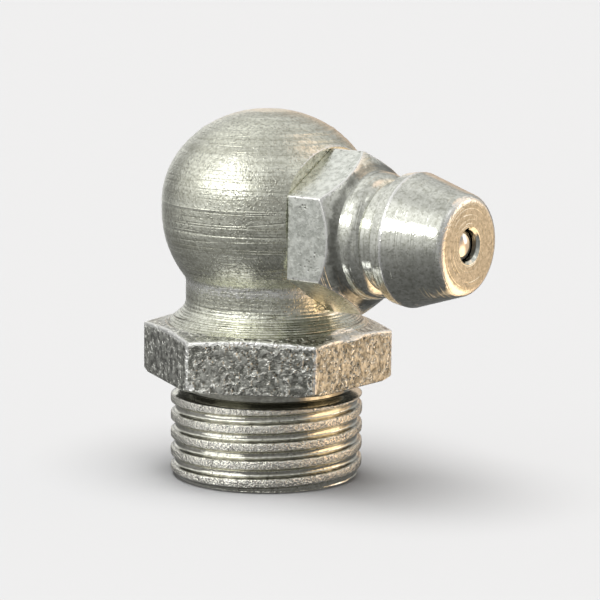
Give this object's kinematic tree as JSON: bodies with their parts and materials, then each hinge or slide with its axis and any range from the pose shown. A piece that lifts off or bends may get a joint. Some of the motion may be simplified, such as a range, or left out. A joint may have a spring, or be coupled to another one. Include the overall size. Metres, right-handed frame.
{
  "type": "angled grease fitting",
  "caption": "Right-angle grease fitting: threaded shank, wrench hexagon, waisted neck with a ball head, and a side nipple whose spring-loaded check ball closes the grease hole.",
  "frame": {"origin": "centre of the grease outlet in the shank's end face, on the thread axis", "axes": "+Z along the thread axis from the shank's end towards the ball head, +X the way the nipple points"},
  "size_m": [0.0177, 0.0128, 0.0185],
  "materials": {
    "body_zinc": "bright zinc plating over turned and tumbled steel",
    "nipple_zinc": "bright zinc plating over turned steel, satin flats",
    "ball_steel": "polished hardened steel",
    "spring_steel": "drawn spring wire"
  },
  "bodies": {
    "fitting": {"elbow_body": "body_zinc", "nipple": "nipple_zinc", "check_spring": "spring_steel"},
    "ball": {"check_ball": "ball_steel"}
  },
  "joints": [
    {"name": "check_ball_slide", "type": "slide", "parent": "fitting", "child": "ball", "axis": [-1, 0, 0], "range_m": [0, 0.0008], "stiffness_N_per_m": 1500, "deforming": ["check_spring"]}
  ]
}
